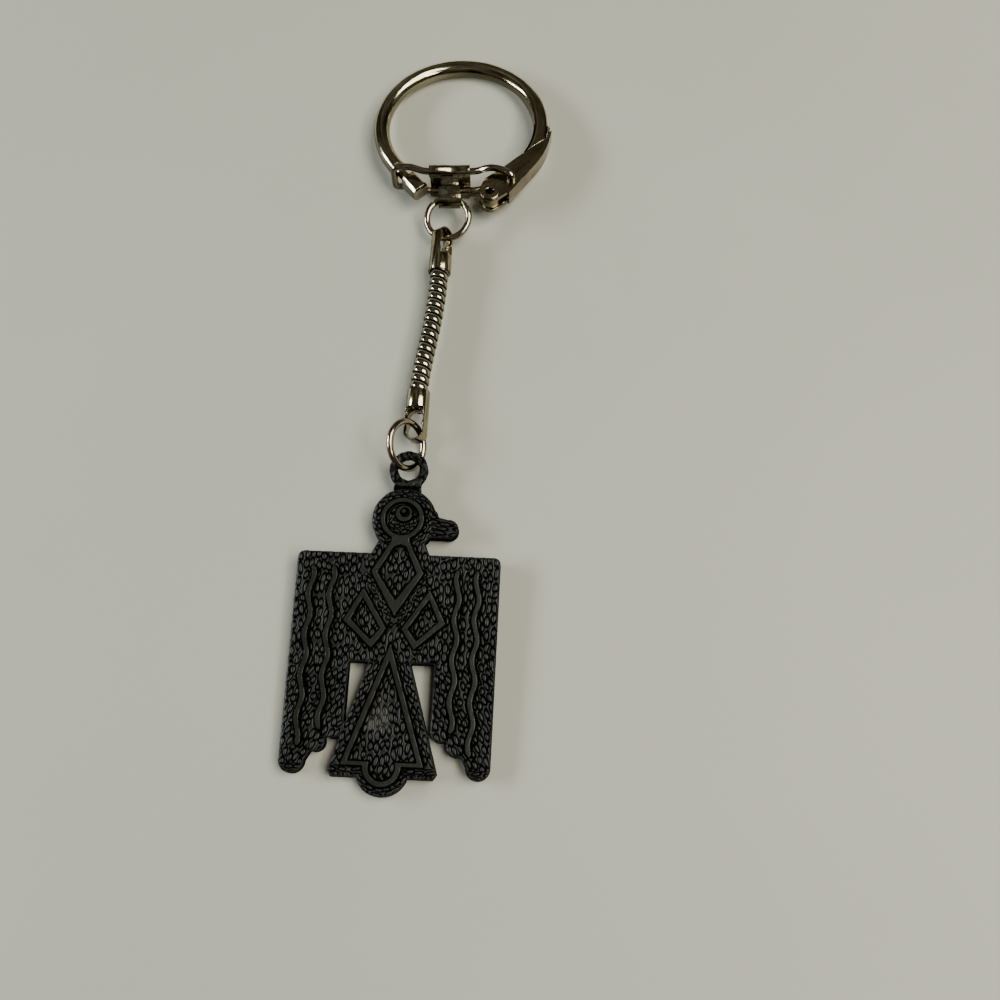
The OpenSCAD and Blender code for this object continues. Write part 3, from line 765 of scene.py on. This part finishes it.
def build_pendant():
    """The casting as an even skin, moved along its normals into grooves, domes, rounded edges and pits"""
    cell = 0.08
    mesh = remeshed("bird_pendant", cell * MM)
    origin, right, up, out = pendant_axes()
    local = (coords(mesh) - np.array(origin)) / MM
    x, y, z = (local @ np.array(v) for v in (right, up, out))
    round_off(mesh, y > LOOP_END, int(0.9 / cell))
    co = coords(mesh)
    normals = vectors(mesh.vertex_normals, "vector")
    facing = normals @ np.array(out)
    bx = x - AXIS_X

    plan = Plan(x, y)
    high = z > PLATE + RELIEF * 0.6
    top = z > PLATE - 0.15
    to_line = plan.distance(plan.marked(x[high], y[high]), x, y, 0.8)
    to_edge = plan.distance(~plan.marked(x[top], y[top]), x, y, 0.9)

    groove, dome = bark(bx, y)
    front = step(facing, 0.35, 0.8) * (z > PLATE - 0.3) * step(-y, -LOOP_END - 0.3, -LOOP_END + 0.1)
    low = front * (1 - step(z, PLATE + 0.10, PLATE + 0.28))
    clear = step(to_line, 0.02, 0.20) * step(to_edge, 0.22, EDGE)
    patch = np.hypot((bx + 1.5) / 2.2, (y + 38.4) / 3.4) + 0.9 * (soft_noise(bx, y, 1.3, 11) - 0.5)
    worn = low * (1 - step(patch, 0.55, 1.05))
    rub = soft_noise(bx, y, 3.1, 12)
    depth = low * clear * (1 - 0.5 * worn) * (0.8 + 0.35 * rub)
    foot = low * np.exp(-(to_line / 0.16) ** 2)
    shoulder = front * (1 - np.clip(to_edge / EDGE, 0, 1)) ** 2
    fine = 0.018 * (soft_noise(bx, y, 0.35, 14) - 0.5) * (facing > 0.3)
    sag = front * 0.05 * (soft_noise(bx, y, 2.3, 13) - 0.5)
    loop = step(y, LOOP_END - 0.3, LOOP_END + 0.3)
    lumps = loop * (soft_noise(bx * 1.3 + z, y - z, 0.42, 17) - 0.5)
    move = -0.20 * groove * depth + 0.15 * dome * depth - 0.12 * foot - 0.55 * shoulder + sag + fine
    pits = 0.05 * step(soft_noise(bx * 1.7, y, 0.7, 15), 0.86, 0.97) * (facing < -0.5)
    taper = 0.30 * (np.abs(facing) < 0.6) * (y < LOOP_END) * np.clip(z / PLATE, 0, 1) ** 2
    sideways = normals - np.outer(facing, np.array(out))
    co += np.outer((move + pits) * MM, np.array(out)) - sideways * (MM * taper)[:, None]
    co += normals * (MM * 0.16 * (lumps - 0.5 * loop))[:, None]
    mesh.vertices.foreach_set("co", co.astype(np.float32).ravel())
    mesh.update()

    height = 0.46 + 0.20 * (rub - 0.5) - 0.50 * groove * depth + 0.22 * dome * depth - 0.5 * foot
    on_lines = front * step(z, PLATE + 0.15, PLATE + 0.34)
    height += on_lines * (0.40 + 0.2 * (soft_noise(bx, y, 0.9, 16) - 0.5))
    # painted shade: the side walls and the rounded rim are darker, by how they face
    height -= 0.30 * (1 - step(facing, 0.1, 0.7)) * (facing > -0.5) + 0.25 * shoulder
    height += loop * (0.5 * lumps - 0.12)
    attribute(mesh, "height", height)
    patchy = 0.3 + 0.7 * soft_noise(bx + y, y, 0.6, 18)
    attribute(mesh, "worn", 0.5 * worn * step(height, 0.3, 0.5) * patchy)
    smooth(mesh, 75)
    piece("bird_pendant_cast", mesh, "bird_pendant", CAST)


# ---------------------------------------------------------------- stage
TILT = math.radians(18.55)  # the camera looks down, this much off the vertical, towards the key ring
CAMERA = Vector((11.6, -71.2, 153.0)) * MM
FILM = LENS = 36.0


def build_floor(reach=1.6):
    mesh = bpy.data.meshes.new("floor")
    mesh.from_pydata([(-reach, -reach, 0), (reach, -reach, 0), (reach, reach, 0), (-reach, reach, 0)], [],
                     [(0, 1, 2, 3)])
    floor = bpy.data.objects.new("floor", mesh)
    bpy.context.scene.collection.objects.link(floor)
    m, t, s = new_material("pale_floor")
    c = t.nodes.new("ShaderNodeTexCoord").outputs["Object"]
    t.links.new(mix(t, noise(t, c, 0.02, 3.0), (0.452, 0.462, 0.392), (0.492, 0.500, 0.426)),
                s.inputs["Base Color"])
    t.links.new(bump(t, noise(t, c, 1.2, 4.0), 0.06, 0.05 * MM), s.inputs["Normal"])
    s.inputs["Roughness"].default_value = 0.55
    mesh.materials.append(m)


def build_camera():
    data = bpy.data.cameras.new("camera")
    data.lens, data.sensor_width, data.clip_start = LENS, FILM, 0.005
    camera = bpy.data.objects.new("camera", data)
    camera.location = CAMERA
    camera.rotation_euler = (TILT, 0, 0)
    bpy.context.scene.collection.objects.link(camera)
    bpy.context.scene.camera = camera


def softbox(name, place, width, height, power, colour):
    """A lit rectangle that faces the object"""
    d = bpy.data.lights.new(name, "AREA")
    d.shape, d.size, d.size_y, d.energy, d.color = "RECTANGLE", width, height, power, colour
    o = bpy.data.objects.new(name, d)
    o.location = place
    out = Vector(place).normalized()
    side = Vector((0, 1, 0)).cross(out).normalized()  # its length runs along Y, as far as it can
    o.rotation_euler = Matrix((side, out.cross(side), out)).transposed().to_euler()
    bpy.context.scene.collection.objects.link(o)


def build_room():
    """What the metal mirrors between the lamps: a dark, cloudy room"""
    world = bpy.data.worlds.new("room")
    bpy.context.scene.world = world
    world.use_nodes = True
    t = world.node_tree
    sky = t.nodes["Background"]
    room = add(t, "ShaderNodeTexNoise", Scale=2.4, Detail=2.0, Roughness=0.5)
    t.links.new(t.nodes.new("ShaderNodeTexCoord").outputs["Generated"], room.inputs["Vector"])
    stops = [(0.36, (0.002, 0.002, 0.001)), (0.47, (0.022, 0.018, 0.012)),
             (0.58, (0.095, 0.084, 0.062)), (0.70, (0.12, 0.14, 0.17))]
    t.links.new(ramp(t, room.outputs["Fac"], stops), sky.inputs["Color"])
    sky.inputs["Strength"].default_value = 1.0


build_chain()
build_jump_ring("upper_jump_ring", cut=2.6)
build_jump_ring("lower_jump_ring", cut=0.4)
softened("upper_end_cap", 0.07 * MM)
softened("lower_end_cap", 0.07 * MM)
build_ring()
build_tab()
build_lever()
softened("lever_rivet", 0.08 * MM, segments=3)
build_bail()
build_pendant()
build_floor()
build_camera()
softbox("right", (0.45, 0.05, 0.75), 0.60, 0.60, 8.0, (1.0, 0.95, 0.84))
softbox("left", (-0.80, 0.05, 0.36), 0.17, 0.60, 7.6, (0.94, 0.98, 1.0))
softbox("low right", (0.50, -0.38, 0.62), 0.14, 0.30, 1.9, (1.0, 0.96, 0.88))
build_room()
